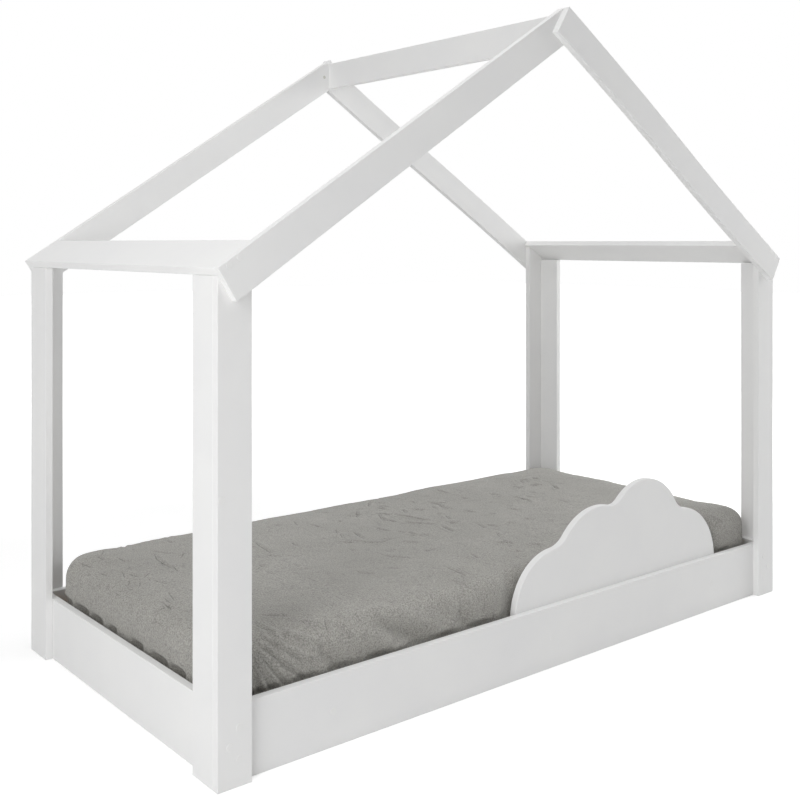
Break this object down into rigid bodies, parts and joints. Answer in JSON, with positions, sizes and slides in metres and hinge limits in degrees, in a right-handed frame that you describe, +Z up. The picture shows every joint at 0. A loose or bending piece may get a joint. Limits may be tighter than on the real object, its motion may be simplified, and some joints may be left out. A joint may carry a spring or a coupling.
{
  "type": "house frame bed",
  "caption": "Low child's bed with corner posts, an open gabled roof outline, floor-standing rails, a cloud-shaped guard board, a slatted base and a covered mattress.",
  "frame": {"origin": "on the floor, in the middle of the bed's length and width", "axes": "+X along the bed, +Z up, the side with the cloud guard faces -Y"},
  "size_m": [1.5754, 0.82, 1.3163],
  "materials": {
    "white_board": "satin",
    "white_cap": "satin",
    "pine": "matte",
    "zinc_screw": "satin",
    "beech_dowel": "matte",
    "foam": "matte",
    "grey_cover": "matte"
  },
  "bodies": {
    "frame": {"post_front_left_face": "white_board", "post_front_left_side": "white_board", "post_front_right_face": "white_board", "post_front_right_side": "white_board", "rail_front": "white_board", "rafter_front_left": "white_board", "rafter_front_right": "white_board", "post_rear_left_face": "white_board", "post_rear_left_side": "white_board", "post_rear_right_face": "white_board", "post_rear_right_side": "white_board", "rail_rear": "white_board", "rafter_rear_left": "white_board", "rafter_rear_right": "white_board", "rail_left_end": "white_board", "rail_right_end": "white_board", "eave_board_left": "white_board", "eave_board_right": "white_board", "ridge_board": "white_board", "cloud_guard": "white_board", "ledger_front": "pine", "ledger_rear": "pine", "slat_01": "pine", "slat_02": "pine", "slat_03": "pine", "slat_04": "pine", "slat_05": "pine", "slat_06": "pine", "slat_07": "pine", "slat_08": "pine", "slat_09": "pine", "slat_10": "pine", "slat_11": "pine", "slat_12": "pine", "post_screws": "zinc_screw", "ledger_screws": "zinc_screw", "eave_screws": "zinc_screw", "ridge_screws": "zinc_screw", "lap_screws": "zinc_screw", "slat_screws": "zinc_screw", "guard_screws": "zinc_screw", "post_caps": "white_cap", "rail_caps": "white_cap", "rafter_caps": "white_cap", "rafter_dowels": "beech_dowel"},
    "mattress": {"mattress_cover": "grey_cover", "mattress_core": "foam"}
  },
  "joints": [
    {"name": "mattress_lift", "type": "slide", "parent": "frame", "child": "mattress", "axis": [0, 0, 1], "range_m": [0, 0.3]}
  ]
}
